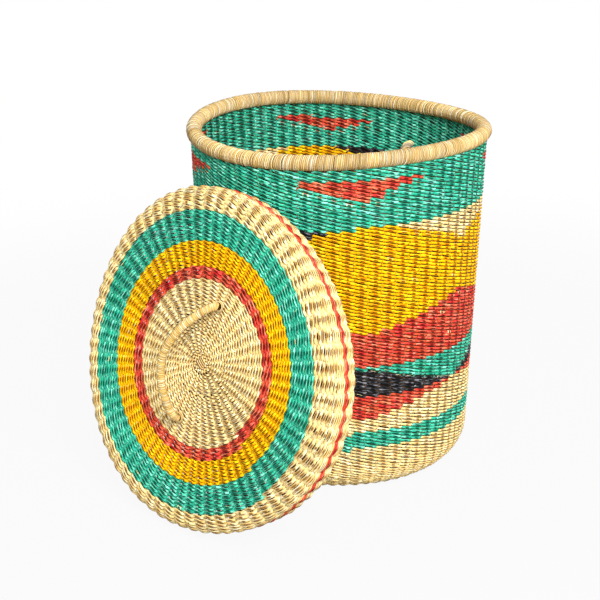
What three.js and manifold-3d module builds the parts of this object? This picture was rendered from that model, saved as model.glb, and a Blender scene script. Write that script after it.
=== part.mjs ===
// A woven grass hamper with its round lid taken off and leaning on it.
// Millimetres, +Z up. The origin is the middle of the base, on the floor.
// The lid leans at the front, towards -Y.
import * as THREE from "three";
import Module from "manifold-3d";
import { mergeVertices } from "three/addons/utils/BufferGeometryUtils.js";

const wasm = await Module();
wasm.setup();

// Basket: driving sizes.
const rimRadius = 190; // middle of the rim's tube
const rimTubeRadius = 9;
const rimHeight = 446; // middle of the rim's tube, on average
const rimWave = 4.5; // how far the rim rises and falls, twice round
const waveAngle = THREE.MathUtils.degToRad(42);
const baseRadius = 180; // outside of the wall, carried down to the corner
const cornerRadius = 45; // between the base and the wall
const wallThickness = 7;
const cornerSplitShare = 0.5; // of the bend, where its lower rows end and its upper ones start
const startRadius = 13; // the crossed stakes that a base or a lid is begun on
const tipShow = 3; // bare stake between the weave and the rim
const tipThickness = 3;
const coreRadius = 6.5; // the bundle inside the rim
const slotRoom = 1; // air on each side of a stake tip in the rim's slot
const pieceGap = 0.3; // air between pieces that touch

// Lid: driving sizes.
const lidThickness = 5.5;
const lidClearance = 1; // between the rim and the inside of the lid's mouth
const lidFlare = 4.2; // how much wider the lid is at its shoulder than at its mouth
const skirtDepth = 34;
const shoulderRise = 14;
const dishDepth = 6; // how far the middle of the lid is sunk
const stripeWidth = 4.6;
const stripeHeight = 18.6; // middle of the stripe above the lid's mouth
const borderHeight = 3;
const lidLeanAngle = THREE.MathUtils.degToRad(14.2); // from upright
const lidSideOffset = 27; // the lid stands a little to the right of the middle

// Handle: driving sizes.
const handleSpan = 152;
const handleHeight = 48;
const handleCoreRadius = 3.2;
const handleRadius = 4.9;
const handleRibDepth = 0.4;
const handleRibCount = 36;
const handleTurnAngle = THREE.MathUtils.degToRad(76); // from level, across the lid's face
const handleLeanAngle = THREE.MathUtils.degToRad(40); // to one side, off the lid's normal
const handleLead = 7; // straight stretch at each end
const lashingRadius = 8.5;
const lashingHeight = 5;
const knotRadius = 6.5;
const knotHeight = 5;

// Loop of twisted grass inside the wall: driving sizes.
const loopCordRadius = 5.5;
const loopWidth = 6; // between its two ends, along the wall
const loopDrop = 40; // from its upper end to its lower one
const loopStandOff = 15; // of the cord's middle from the wall
const loopTopShare = 0.9; // of the weave's height
const loopAngle = THREE.MathUtils.degToRad(98);

// Pattern: heights of the wall's colour fields, as shares of the weave's height.
const footShare = 0.164;
const tealFootShare = 0.208;
const zigLowShare = 0.246;
const blackFootShare = 0.327;
const zigHighShare = 0.413;
const middleShare = 0.42;
const redLowShare = 0.52;
const redHighShare = 0.597;
const yellowSplitShare = 0.68; // where the lower run of yellow weavers ends
const hangTipShare = 0.761;
const yellowTopShare = 0.845;
const redTipShare = 0.919;
const redTopShare = 0.974;
const hangWidthShare = 0.9; // of a quarter turn
const redWidthShare = 0.52; // of a quarter turn
const peakAngle = THREE.MathUtils.degToRad(7.5); // where the zigzags peak

// Pattern: edges of the lid's rings, as shares of its radius.
const centreRingShare = 0.487;
const redRingShare = 0.557;
const yellowRingShare = 0.7;
const tealRingShare = 0.87;

// How far the lid is out of round, as shares of its radius.
const twoSinShare = -0.012;
const threeCosShare = 0.02;
const threeSinShare = -0.007;

// The handle's arch: places along half the span, and heights above its straight ends.
const handleShares = [
  [-1, 0], [-0.93, 0.2], [-0.76, 0.46], [-0.45, 0.8], [0, 1],
  [0.45, 0.8], [0.76, 0.46], [0.93, 0.2], [1, 0],
];

// The loop's path: across its width, inwards from the wall, and down its drop.
const loopShares = [
  [-0.5, 0, 0], [-0.5, 0.35, 0], [-0.3, 0.8, 0.06], [0, 1, 0.3],
  [0, 1, 0.65], [0.3, 0.8, 0.92], [0.5, 0.35, 1], [0.5, 0, 1],
];

// Faceting.
const facetCount = 40; // columns round the basket and the lid
const cornerStepCount = 3; // in each of the bend's two stretches
const shoulderStepCount = 4;
const tubeSideCount = 8;
const rimSideCount = 8;
const quarterCount = 4;
const loopStepCount = 16;
const boreStepCount = 2; // a ring of the handle's bore at every rib

// Sizes that follow.
const fullAngle = 2 * Math.PI;
const rightAngle = fullAngle / quarterCount;
const halfGap = pieceGap / 2;
const footGap = 2 * pieceGap; // under the handle's feet, where the lid's face slopes
const weaveTop = rimHeight - rimTubeRadius - tipShow;
const wallTopRadius = rimRadius + wallThickness / 2;
const flatRadius = baseRadius - cornerRadius;
const lidMouthRadius = rimRadius + rimTubeRadius + lidClearance + lidThickness;
const lidRadius = lidMouthRadius + lidFlare;
const centreRadius = centreRingShare * lidRadius;
const redRadius = redRingShare * lidRadius;
const yellowRadius = yellowRingShare * lidRadius;
const dishRadius = tealRingShare * lidRadius; // the sunk face ends with the teal ring
const shoulderWidth = lidRadius - dishRadius;
const shoulderLength = Math.hypot(shoulderWidth, shoulderRise);
const shoulderEnd = dishRadius + shoulderLength;
const lidEnd = shoulderEnd + skirtDepth;
const lidTop = skirtDepth + shoulderRise;
const handleFoot = handleSpan / 2;
const hangWidth = hangWidthShare * rightAngle;
const redWidth = redWidthShare * rightAngle;
const valleyAngle = peakAngle + rightAngle / 2;

const group = new THREE.Group();
const lid = new THREE.Group();
group.add(lid);

// Materials, one for each finish.
function straw(color, roughness = 0.75) {
  return new THREE.MeshStandardMaterial({ color, roughness, metalness: 0 });
}

function addPiece(parent, name, geometry, color, roughness) {
  const mesh = new THREE.Mesh(geometry, straw(color, roughness));
  mesh.name = name;
  parent.add(mesh);
  return mesh;
}

const naturalColour = 0xe6ca8c;
const tealColour = 0x3fae8b;
const redColour = 0xc8453b;
const yellowColour = 0xf2bb0c;
const blackColour = 0x2d2c33;
const wrapStrawColour = 0xe9c97c;

// A closed solid from cross-sections in a row, each an equally long ring of points.
// The row closes on itself, or its first and last sections become flat ends.
function sweptSolid(sections, closed) {
  const count = sections[0].length;
  const positions = sections.flat().flatMap((point) => point.toArray());
  const faces = [];
  const rows = closed ? sections.length : sections.length - 1;
  for (let row = 0; row < rows; row += 1) {
    const here = row * count;
    const next = ((row + 1) % sections.length) * count;
    for (let k = 0; k < count; k += 1) {
      const after = (k + 1) % count;
      faces.push(here + k, here + after, next + after);
      faces.push(here + k, next + after, next + k);
    }
  }
  if (!closed) {
    const last = (sections.length - 1) * count;
    for (let k = 1; k < count - 1; k += 1) {
      faces.push(0, k + 1, k);
      faces.push(last, last + k, last + k + 1);
    }
  }
  const geometry = new THREE.BufferGeometry();
  geometry.setAttribute("position", new THREE.Float32BufferAttribute(positions, 3));
  geometry.setIndex(faces);
  return facingOut(geometry);
}

// Turns every face round if the solid's volume comes out negative.
function facingOut(geometry) {
  const position = geometry.getAttribute("position");
  const faces = Array.from(geometry.index.array);
  const corner = [new THREE.Vector3(), new THREE.Vector3(), new THREE.Vector3()];
  let volume = 0;
  for (let f = 0; f < faces.length; f += 3) {
    corner.forEach((c, k) => c.fromBufferAttribute(position, faces[f + k]));
    volume += corner[0].dot(corner[1].clone().cross(corner[2]));
  }
  if (volume < 0) {
    for (let f = 0; f < faces.length; f += 3) {
      [faces[f + 1], faces[f + 2]] = [faces[f + 2], faces[f + 1]];
    }
    geometry.setIndex(faces);
  }
  return geometry;
}

// A point at a radius, an angle and a height.
function polar(radius, angle, height) {
  return new THREE.Vector3(radius * Math.cos(angle), radius * Math.sin(angle), height);
}

const columns = Array.from({ length: facetCount }, (_, k) => peakAngle + (fullAngle * k) / facetCount);

// The basket's outer skin at a height, on average round the basket.
function wallRadius(height) {
  if (height >= cornerRadius) {
    const share = (height - cornerRadius) / (rimHeight - cornerRadius);
    return baseRadius + (wallTopRadius - baseRadius) * share;
  }
  const drop = cornerRadius - height;
  return flatRadius + Math.sqrt(Math.max(0, cornerRadius ** 2 - drop ** 2));
}

// The inside of the same wall, above the bend.
function innerRadius(height) {
  return wallRadius(height) - wallThickness;
}

// The rim rises and falls twice round, and the rows of weave below it do so less and less.
function waveAt(angle, height) {
  const share = Math.max(0, (height - cornerRadius) / (rimHeight - cornerRadius));
  return -rimWave * share * share * Math.sin(2 * (angle - waveAngle));
}

function wallPoint(radius, angle, height) {
  return polar(radius, angle, height + waveAt(angle, height));
}

// Goes from 1 at a middle angle down to 0 at both ends of a width, in every quarter turn.
function tent(angle, middle, width) {
  const ahead = THREE.MathUtils.euclideanModulo(angle - middle, rightAngle);
  const away = Math.min(ahead, rightAngle - ahead);
  return Math.max(0, 1 - (2 * away) / width);
}

// A height on the wall, part of the way from one share of the weave's height to another.
function between(fromShare, toShare, amount = 0) {
  return (fromShare + (toShare - fromShare) * amount) * weaveTop;
}

// The edges between the wall's colour fields, as heights at an angle.
const edge = {
  bend: () => cornerRadius,
  foot: () => footShare * weaveTop,
  tealFoot: () => tealFootShare * weaveTop,
  lowerZigzag: (angle) =>
    between(zigLowShare, blackFootShare, tent(angle, peakAngle, rightAngle)),
  blackFoot: () => blackFootShare * weaveTop,
  upperZigzag: (angle) =>
    between(blackFootShare, zigHighShare, tent(angle, valleyAngle, rightAngle)),
  middle: () => middleShare * weaveTop,
  redLow: () => redLowShare * weaveTop,
  redZigzag: (angle) =>
    between(redLowShare, redHighShare, tent(angle, peakAngle, rightAngle)),
  yellowSplit: () => yellowSplitShare * weaveTop,
  hanging: (angle) =>
    between(yellowTopShare, hangTipShare, tent(angle, peakAngle, hangWidth)),
  yellowTop: () => yellowTopShare * weaveTop,
  redPoint: (angle) =>
    between(redTopShare, redTipShare, tent(angle, valleyAngle, redWidth)),
  redTop: () => redTopShare * weaveTop,
  top: () => weaveTop,
};

// One column of wall between two heights: a four-sided cross-section.
function wallSection(angle, low, high) {
  const bottom = low + halfGap;
  const top = high - halfGap;
  return [
    wallPoint(wallRadius(bottom), angle, bottom),
    wallPoint(wallRadius(top), angle, top),
    wallPoint(innerRadius(top), angle, top),
    wallPoint(innerRadius(bottom), angle, bottom),
  ];
}

// A field of weave that runs all the way round.
function wallBand(low, high) {
  return sweptSolid(columns.map((angle) => wallSection(angle, low(angle), high(angle))), true);
}

// A field of weave that narrows to a thin end on both sides of its middle.
function wallPatch(low, high, middle, width) {
  const depth = high(middle) - low(middle);
  const half = (width / 2) * (1 - (2 * pieceGap) / depth);
  const step = fullAngle / facetCount;
  const inside = Math.ceil(half / step) - 1;
  const angles = [middle - half];
  for (let k = -inside; k <= inside; k += 1) angles.push(middle + step * k);
  angles.push(middle + half);
  return sweptSolid(angles.map((angle) => wallSection(angle, low(angle), high(angle))), false);
}

// The flat of the base, between the start and the bend.
function baseWeave() {
  const inside = startRadius + halfGap;
  const outside = flatRadius - halfGap;
  const profile = [[inside, 0], [outside, 0], [outside, wallThickness], [inside, wallThickness]];
  return sweptSolid(columns.map((angle) => profile.map(([r, z]) => polar(r, angle, z))), true);
}

// A stretch of the bend from the base up into the wall, between two shares of its quarter turn.
function cornerWeave(start, end) {
  const bend = cornerRadius - wallThickness;
  const clear = halfGap / bend;
  const lifts = sharesBetween(rightAngle * start + clear, rightAngle * end - clear, cornerStepCount);
  const arc = (radius) =>
    lifts.map((lift) => [flatRadius + radius * Math.sin(lift), cornerRadius - radius * Math.cos(lift)]);
  const profile = [...arc(cornerRadius), ...arc(bend).reverse()];
  return sweptSolid(columns.map((angle) => profile.map(([r, z]) => polar(r, angle, z))), true);
}

// The crossed stakes in the middle of a base or a lid, as a disc that stands a little proud.
function startDisc(low, high) {
  const radius = startRadius - halfGap;
  const profile = [[0, low], [radius, low], [radius, high], [0, high]];
  const points = profile.map(([r, z]) => new THREE.Vector2(r, z));
  return new THREE.LatheGeometry(points, facetCount / 2).rotateX(rightAngle);
}

// Bare stake ends between the weave and the bundle inside the rim.
function stakeTips() {
  const low = weaveTop + pieceGap;
  const high = rimHeight - coreRadius - pieceGap;
  const outside = rimRadius + tipThickness / 2;
  const inside = rimRadius - tipThickness / 2;
  const sections = [];
  for (let k = 0; k < 2 * facetCount; k += 1) {
    const angle = peakAngle + (fullAngle * k) / (2 * facetCount);
    const top = k % 2 ? (low + high) / 2 : high;
    const profile = [[outside, low], [outside, top], [inside, top], [inside, low]];
    sections.push(profile.map(([r, z]) => wallPoint(r, angle, z)));
  }
  return sweptSolid(sections, true);
}

// Points of an arc about the middle of the rim's tube.
function rimArc(radius, start, sweep, steps) {
  return Array.from({ length: steps + 1 }, (_, k) => {
    const around = start + (sweep * k) / steps;
    return [radius * Math.cos(around), radius * Math.sin(around)];
  });
}

// A profile about the middle of the rim's tube, carried round the rim.
function rimRing(profile) {
  return columns.map((angle) => {
    const height = rimHeight + waveAt(angle, rimHeight);
    return profile.map(([out, up]) => polar(rimRadius + out, angle, height + up));
  });
}

function rimCore() {
  const profile = rimArc(coreRadius, 0, fullAngle, tubeSideCount).slice(1);
  return sweptSolid(rimRing(profile), true);
}

// The wrapping round the bundle, open below where the stake tips go in.
function rimWrap() {
  const inside = (coreRadius + pieceGap) / Math.cos(fullAngle / rimSideCount / 2);
  const slot = tipThickness / 2 + slotRoom;
  const arc = (radius) => {
    const half = Math.asin(slot / radius);
    return rimArc(radius, half - rightAngle, fullAngle - 2 * half, rimSideCount);
  };
  return sweptSolid(rimRing([...arc(rimTubeRadius), ...arc(inside).reverse()]), true);
}

// Frames along a path, each turned as little as possible from the one before.
function pathFrames(curve, shares, side) {
  let across = side;
  return shares.map((share) => {
    const tangent = curve.getTangentAt(share);
    across = across.clone().addScaledVector(tangent, -across.dot(tangent)).normalize();
    return { middle: curve.getPointAt(share), across, up: tangent.cross(across) };
  });
}

function pointOnTube(frame, radius, around) {
  return frame.middle
    .clone()
    .addScaledVector(frame.across, radius * Math.cos(around))
    .addScaledVector(frame.up, radius * Math.sin(around));
}

function tubeSolid(frames, radius) {
  const angles = Array.from({ length: tubeSideCount }, (_, k) => (fullAngle * k) / tubeSideCount);
  const ring = (frame) => angles.map((around) => pointOnTube(frame, radius, around));
  return sweptSolid(frames.map(ring), false);
}

// A number of steps from one share of a path to another.
function sharesBetween(start, end, steps) {
  return Array.from({ length: steps + 1 }, (_, k) => start + ((end - start) * k) / steps);
}

// The twisted grass loop that stands out from the inside of the wall, both ends at the weave.
function insideLoop() {
  const top = loopTopShare * weaveTop;
  const halfWidth = loopWidth / 2 + loopCordRadius;
  const outward = polar(1, loopAngle, 0);
  const side = polar(1, loopAngle + rightAngle, 0);
  const points = loopShares.map(([across, inward, down]) => {
    const height = top - loopDrop * down;
    const reach = innerRadius(height - loopCordRadius) * Math.cos(fullAngle / facetCount / 2) - pieceGap;
    return outward
      .clone()
      .multiplyScalar(Math.sqrt(reach ** 2 - halfWidth ** 2) - loopStandOff * inward)
      .addScaledVector(side, loopWidth * across)
      .setZ(height + waveAt(loopAngle, height));
  });
  const path = new THREE.CatmullRomCurve3(points);
  return tubeSolid(pathFrames(path, sharesBetween(0, 1, loopStepCount), side), loopCordRadius);
}

// The lid lies in its own frame here: its mouth at 0, its outer face up.
function lidOutline(radius, angle) {
  const reach = (radius / lidRadius) ** 2;
  const wander =
    twoSinShare * Math.sin(2 * angle) +
    threeCosShare * Math.cos(3 * angle) +
    threeSinShare * Math.sin(3 * angle);
  return radius * (1 + reach * wander);
}

function lidPoint([radius, height], angle) {
  return polar(lidOutline(radius, angle), angle, height);
}

// The lid's outer and inner skins at a distance from its middle, measured over its face.
function lidSkins(way) {
  if (way <= dishRadius) {
    const height = lidTop - dishDepth * (1 - (way / dishRadius) ** 2);
    return { outer: [way, height], inner: [way, height - lidThickness] };
  }
  if (way <= shoulderEnd) {
    const bend = (rightAngle * (way - dishRadius)) / shoulderLength;
    const skin = (width, rise) => [
      dishRadius + width * Math.sin(bend),
      skirtDepth + rise * Math.cos(bend),
    ];
    return {
      outer: skin(shoulderWidth, shoulderRise),
      inner: skin(shoulderWidth - lidThickness, shoulderRise - lidThickness),
    };
  }
  const height = lidEnd - way;
  const radius = lidMouthRadius + (lidFlare * height) / skirtDepth;
  return { outer: [radius, height], inner: [radius - lidThickness, height] };
}

// A ring of the lid's weave between two distances from its middle.
function lidRing(start, end) {
  const inside = start + halfGap;
  const outside = end - halfGap;
  const bends = sharesBetween(dishRadius, shoulderEnd, shoulderStepCount);
  const turns = [handleFoot, ...bends].filter((way) => way > inside + halfGap && way < outside - halfGap);
  const skins = [inside, ...turns, outside].map(lidSkins);
  const outer = skins.map((skin) => skin.outer);
  const inner = skins.map((skin) => skin.inner);
  const profile = [...outer, ...inner.reverse()];
  return sweptSolid(columns.map((angle) => profile.map((point) => lidPoint(point, angle))), true);
}

// The stakes' folded ends at the lid's mouth, as a scalloped edge.
function lidBorder() {
  const start = lidSkins(lidEnd - borderHeight + halfGap);
  const sections = [];
  for (let k = 0; k < 2 * facetCount; k += 1) {
    const angle = peakAngle + (fullAngle * k) / (2 * facetCount);
    const end = lidSkins(lidEnd - (k % 2 ? borderHeight / 2 : 0));
    const profile = [start.outer, end.outer, end.inner, start.inner];
    sections.push(profile.map((point) => lidPoint(point, angle)));
  }
  return sweptSolid(sections, true);
}

// The handle's middle line: down through the weave at both ends, and over in a leaning arch.
const handleDirection = polar(1, handleTurnAngle, 0);
const handleLift = Math.cos(handleLeanAngle);
const handleUp = polar(Math.sin(handleLeanAngle), handleTurnAngle + rightAngle, handleLift);
const handleSeat = lidSkins(handleFoot).outer[1];

function handleCurve() {
  const depth = lidThickness + knotHeight + footGap;
  const point = (across, height) =>
    handleDirection.clone().multiplyScalar(across).setZ(handleSeat + height);
  const arch = handleHeight - handleLead;
  const points = handleShares.map(([across, rise]) =>
    point(handleFoot * across, handleLead).addScaledVector(handleUp, arch * rise),
  );
  return new THREE.CatmullRomCurve3([
    point(-handleFoot, -depth),
    point(-handleFoot, 0),
    ...points,
    point(handleFoot, 0),
    point(handleFoot, -depth),
  ]);
}

// Places along the handle's middle line, from just above the lid to just above it again.
function handlePlaces(curve) {
  const start = (lidThickness + knotHeight + 2 * footGap) / curve.getLength();
  return sharesBetween(start, 1 - start, 2 * handleRibCount);
}

function handleCore(curve) {
  const places = handlePlaces(curve).filter((_, k) => k % boreStepCount === 0);
  return tubeSolid(pathFrames(curve, [0, ...places, 1], handleDirection), handleCoreRadius);
}

// The straw wound round the handle: an open tube with a rib for every few turns.
function handleWrap(curve) {
  const frames = pathFrames(curve, handlePlaces(curve), handleDirection);
  const bore = frames.filter((_, k) => k % boreStepCount === 0).reverse();
  const sections = Array.from({ length: tubeSideCount }, (_, side) => {
    const around = (fullAngle * side) / tubeSideCount;
    const outer = frames.map((frame, k) =>
      pointOnTube(frame, handleRadius - (k % 2 ? 0 : handleRibDepth), around),
    );
    const inner = bore.map((frame) => pointOnTube(frame, handleCoreRadius + pieceGap, around));
    return [...outer, ...inner];
  });
  return sweptSolid(sections, true);
}

// A ring that lies flat round a foot of the handle.
function footRing(side, low, height, inside, outside) {
  const middle = handleDirection.clone().multiplyScalar(side * handleFoot);
  const bulge = height / 2;
  const profile = [
    [inside, low],
    [outside - bulge / 2, low],
    [outside, low + bulge],
    [outside - bulge / 2, low + height],
    [inside, low + height],
  ];
  const sections = Array.from({ length: 2 * tubeSideCount }, (_, k) => {
    const around = (fullAngle * k) / (2 * tubeSideCount);
    return profile.map(([r, z]) => polar(r, around, z).add(middle));
  });
  return sweptSolid(sections, true);
}

// A three.js solid as a manifold-3d one, and back.
function asManifold(geometry) {
  const bare = mergeVertices(geometry.clone().deleteAttribute("normal").deleteAttribute("uv"));
  return new wasm.Manifold(
    new wasm.Mesh({
      numProp: 3,
      vertProperties: bare.getAttribute("position").array,
      triVerts: new Uint32Array(bare.index.array),
    }),
  );
}

function asGeometry(solid) {
  const mesh = solid.getMesh();
  const geometry = new THREE.BufferGeometry();
  geometry.setAttribute("position", new THREE.BufferAttribute(mesh.vertProperties, mesh.numProp));
  geometry.setIndex(new THREE.BufferAttribute(mesh.triVerts, 1));
  return geometry;
}

// The middle of the lid, with a hole for each end of the handle's core.
function lidCentre() {
  const ring = asManifold(lidRing(startRadius, centreRadius));
  const hole = handleCoreRadius + 2 * pieceGap;
  const holes = [-1, 1].map((side) => {
    const foot = handleDirection.clone().multiplyScalar(side * handleFoot).setZ(handleSeat);
    const drill = new THREE.CylinderGeometry(hole, hole, 4 * lidThickness, 2 * tubeSideCount);
    return asManifold(drill.rotateX(rightAngle).translate(...foot.toArray()));
  });
  return asGeometry(holes.reduce((left, hole) => left.subtract(hole), ring));
}

// Pieces of the basket.
addPiece(group, "base_start", startDisc(0, wallThickness), naturalColour);
addPiece(group, "base_weave", baseWeave(), naturalColour);
addPiece(group, "corner_low_weave", cornerWeave(0, cornerSplitShare), naturalColour);
addPiece(group, "corner_high_weave", cornerWeave(cornerSplitShare, 1), naturalColour);
addPiece(group, "foot_weave", wallBand(edge.bend, edge.foot), naturalColour);
addPiece(group, "teal_foot_band", wallBand(edge.foot, edge.tealFoot), tealColour);
addPiece(group, "natural_band", wallBand(edge.tealFoot, edge.lowerZigzag), naturalColour);
addPiece(group, "teal_zigzag_band", wallBand(edge.upperZigzag, edge.middle), tealColour);
addPiece(group, "red_band", wallBand(edge.middle, edge.redLow), redColour);
addPiece(group, "yellow_low_band", wallBand(edge.redZigzag, edge.yellowSplit), yellowColour);
addPiece(group, "yellow_high_band", wallBand(edge.yellowSplit, edge.hanging), yellowColour);
addPiece(group, "teal_shoulder_band", wallBand(edge.yellowTop, edge.redPoint), tealColour);
addPiece(group, "teal_top_band", wallBand(edge.redTop, edge.top), tealColour);
for (let k = 0; k < quarterCount; k += 1) {
  const valley = valleyAngle + rightAngle * k;
  const peak = peakAngle + rightAngle * k;
  const number = k + 1;
  const redFoot = wallPatch(edge.lowerZigzag, edge.blackFoot, valley, rightAngle);
  const blackPoint = wallPatch(edge.blackFoot, edge.upperZigzag, valley, rightAngle);
  const redHigh = wallPatch(edge.redLow, edge.redZigzag, peak, rightAngle);
  const hanging = wallPatch(edge.hanging, edge.yellowTop, peak, hangWidth);
  const redTop = wallPatch(edge.redPoint, edge.redTop, valley, redWidth);
  const [hangName, hangColour] = k % 2 ? ["black", blackColour] : ["natural", naturalColour];
  addPiece(group, `red_foot_point_${number}`, redFoot, redColour);
  addPiece(group, `black_point_${number}`, blackPoint, blackColour);
  addPiece(group, `red_high_point_${number}`, redHigh, redColour);
  addPiece(group, `${hangName}_hanging_point_${number}`, hanging, hangColour);
  addPiece(group, `red_top_point_${number}`, redTop, redColour);
}
addPiece(group, "stake_tips", stakeTips(), naturalColour);
addPiece(group, "rim_core", rimCore(), naturalColour);
addPiece(group, "rim_wrap", rimWrap(), wrapStrawColour, 0.6);
addPiece(group, "inside_loop", insideLoop(), wrapStrawColour);

// Pieces of the lid, in the lid's own frame.
const lidMiddle = lidTop - dishDepth;
const stripeTop = lidEnd - stripeHeight - stripeWidth / 2;
const stripeFoot = stripeTop + stripeWidth;
const curve = handleCurve();
addPiece(lid, "lid_start", startDisc(lidMiddle - lidThickness, lidMiddle), naturalColour);
addPiece(lid, "lid_centre_weave", lidCentre(), naturalColour);
addPiece(lid, "lid_red_ring", lidRing(centreRadius, redRadius), redColour);
addPiece(lid, "lid_yellow_ring", lidRing(redRadius, yellowRadius), yellowColour);
addPiece(lid, "lid_teal_ring", lidRing(yellowRadius, dishRadius), tealColour);
addPiece(lid, "lid_shoulder_weave", lidRing(dishRadius, shoulderEnd), naturalColour);
addPiece(lid, "lid_skirt_weave", lidRing(shoulderEnd, stripeTop), naturalColour);
addPiece(lid, "lid_red_stripe", lidRing(stripeTop, stripeFoot), redColour);
addPiece(lid, "lid_edge_weave", lidRing(stripeFoot, lidEnd - borderHeight), naturalColour);
addPiece(lid, "lid_border", lidBorder(), naturalColour);
addPiece(lid, "handle_core", handleCore(curve), naturalColour);
addPiece(lid, "handle_wrap", handleWrap(curve), wrapStrawColour, 0.6);
[-1, 1].forEach((side, k) => {
  const over = handleSeat + footGap;
  const under = handleSeat - lidThickness - footGap - knotHeight;
  const lashing = footRing(side, over, lashingHeight, handleRadius + pieceGap, lashingRadius);
  const knot = footRing(side, under, knotHeight, handleCoreRadius + pieceGap, knotRadius);
  addPiece(lid, `handle_lashing_${k + 1}`, lashing, wrapStrawColour);
  addPiece(lid, `handle_knot_${k + 1}`, knot, naturalColour);
});

// The lid stands on the floor on its edge, and leans until its mouth meets the wall or the rim.
lid.rotation.x = rightAngle - lidLeanAngle;
const corners = columns.flatMap((angle) =>
  [shoulderEnd, lidEnd].map((way) => lidPoint(lidSkins(way).outer, angle).applyEuler(lid.rotation)),
);
const standing = -Math.min(...corners.map((point) => point.z));
const leaning = corners.map((point) => {
  const height = point.z + standing;
  const underRim = height < rimHeight - rimTubeRadius - rimWave;
  const reach = (underRim ? wallRadius(Math.max(height, 0)) : rimRadius + rimTubeRadius) + pieceGap;
  const aside = Math.min(reach, Math.abs(point.x + lidSideOffset));
  return -Math.sqrt(reach ** 2 - aside ** 2) - point.y;
});
lid.position.set(lidSideOffset, Math.min(...leaning), standing);

export default group;
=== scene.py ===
import math

import bmesh
import bpy
import numpy as np
from mathutils import Matrix, Vector


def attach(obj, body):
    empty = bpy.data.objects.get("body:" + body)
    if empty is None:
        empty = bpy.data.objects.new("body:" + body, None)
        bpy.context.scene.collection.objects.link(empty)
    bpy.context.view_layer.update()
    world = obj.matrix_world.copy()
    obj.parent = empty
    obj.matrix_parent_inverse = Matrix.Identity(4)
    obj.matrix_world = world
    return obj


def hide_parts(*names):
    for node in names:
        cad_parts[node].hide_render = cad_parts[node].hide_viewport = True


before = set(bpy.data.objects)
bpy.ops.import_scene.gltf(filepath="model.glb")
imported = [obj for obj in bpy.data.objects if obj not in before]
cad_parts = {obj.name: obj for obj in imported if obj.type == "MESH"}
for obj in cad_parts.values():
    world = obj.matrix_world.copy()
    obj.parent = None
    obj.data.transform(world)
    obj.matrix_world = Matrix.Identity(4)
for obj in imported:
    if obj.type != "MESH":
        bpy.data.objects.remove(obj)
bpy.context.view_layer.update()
mm = 0.001  # sizes below are in millimetres, meshes in metres
fullTurn = 2 * math.pi
dice = np.random.default_rng(11)

# camera, set to the photograph's view: its place is in metres, its pitch and heading in degrees
cameraSetup = {
    "place": (1.1965, -1.3981, 0.86406),
    "pitch": 19.657,
    "heading": 42.12,
    "lens": 86.4,
    "sensor": 36,
}
cameraData = bpy.data.cameras.new("camera")
cameraData.lens = cameraSetup["lens"]
cameraData.sensor_width = cameraSetup["sensor"]
cameraObject = bpy.data.objects.new("camera", cameraData)
cameraObject.location = cameraSetup["place"]
cameraObject.rotation_euler = (
    math.radians(90 - cameraSetup["pitch"]),
    0,
    math.radians(cameraSetup["heading"]),
)
bpy.context.collection.objects.link(cameraObject)
bpy.context.scene.camera = cameraObject
print("camera is set")

# the stakes that everything is woven over: more are put in as the round grows
stakeLook = {
    "steps": (  # how far out each count of stakes begins, and half the width of each one's backing of painted shade
        {"start": 13, "count": 20, "basket": 5, "lid": 1.4},
        {"start": 38, "count": 40, "basket": 8.5, "lid": 2.0},
        {"start": 117, "count": 68, "basket": 9.8, "lid": 3.0},
    ),
    "thick": 0.6,
    "sides": 6,
    "top": 441,
    "overlap": 2,  # how far each run goes in between the next one's stakes
    "mouthGap": 2,  # how far over the lid's mouth its stakes end
}
stakeBends = {  # where the stakes have points on their way out
    "cornerCount": 7,
    "wallFrom": 60,  # over the bend at the foot
    "wallTo": 20,  # under the tips
    "wallCount": 6,
    "dishFrom": 60,
    "dishCount": 4,
    "shoulderFrom": 190,
    "shoulderCount": 5,
    "skirt": 18,  # over the lid's mouth
}
peakAngle = math.radians(7.5)  # the pattern's peaks stand on this stake and on each quarter from it
startRadius = stakeLook["steps"][0]["start"]
fullCount = stakeLook["steps"][-1]["count"]


def stakesAt(way):
    return [step["count"] for step in stakeLook["steps"] if way >= step["start"]][-1]


# the basket's middle surface: way is measured over it from the middle of the base to the rim
basketShape = {
    "flatRadius": 135,
    "bendRadius": 41.5,
    "halfWall": 3.5,
    "wallFoot": 45,
    "wallLean": 13.5 / 401,  # how far the wall leans out for each millimetre up
    "rimHeight": 446,
    "wave": 4.5,
    "waveAngle": math.radians(42),
    "weaveTop": 434,
}
bendEnd = basketShape["flatRadius"] + basketShape["bendRadius"] * math.pi / 2


def waveAt(angle, height):
    shape = basketShape
    share = np.maximum(0, (height - shape["wallFoot"]) / (shape["rimHeight"] - shape["wallFoot"]))
    return -shape["wave"] * share**2 * np.sin(2 * (angle - shape["waveAngle"]))


def onBasket(way, angle, out):
    shape = basketShape
    lift = np.clip((way - shape["flatRadius"]) / shape["bendRadius"], 0, math.pi / 2)
    rise = np.maximum(way - bendEnd, 0)
    radius = np.minimum(way, shape["flatRadius"]) + (shape["bendRadius"] + out) * np.sin(lift)
    radius = radius + shape["wallLean"] * rise
    height = shape["halfWall"] + shape["bendRadius"] * (1 - np.cos(lift)) + rise - out * np.cos(lift)
    height = height + waveAt(angle, height)
    return np.stack([radius * np.cos(angle), radius * np.sin(angle), height], axis=-1)


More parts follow.
